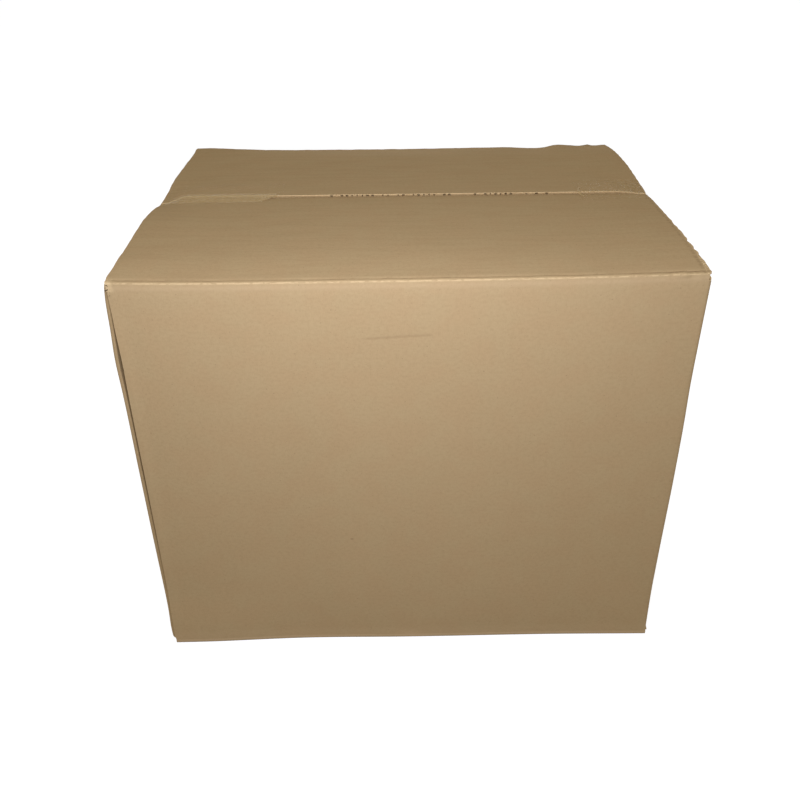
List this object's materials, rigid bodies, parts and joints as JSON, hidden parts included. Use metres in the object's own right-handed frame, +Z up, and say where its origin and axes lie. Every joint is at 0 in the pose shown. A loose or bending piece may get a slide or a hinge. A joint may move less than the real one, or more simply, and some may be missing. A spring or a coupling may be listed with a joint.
{
  "type": "moving box",
  "caption": "Slotted moving box of brown corrugated board, closed and taped shut, with slightly sprung top flaps meeting at a seam held by clear tape at its ends.",
  "frame": {"origin": "on the ground under the middle of the box's base", "axes": "+Z up, +X along the box's length and the top seam, -Y out of the front panel"},
  "size_m": [0.6072, 0.486, 0.51],
  "materials": {
    "board": "matt kraft paper",
    "tape": "clear glossy film"
  },
  "bodies": {
    "root": {"carton": "board", "tape_top_left": "tape", "tape_top_right": "tape", "tape_bottom": "tape"}
  },
  "joints": []
}
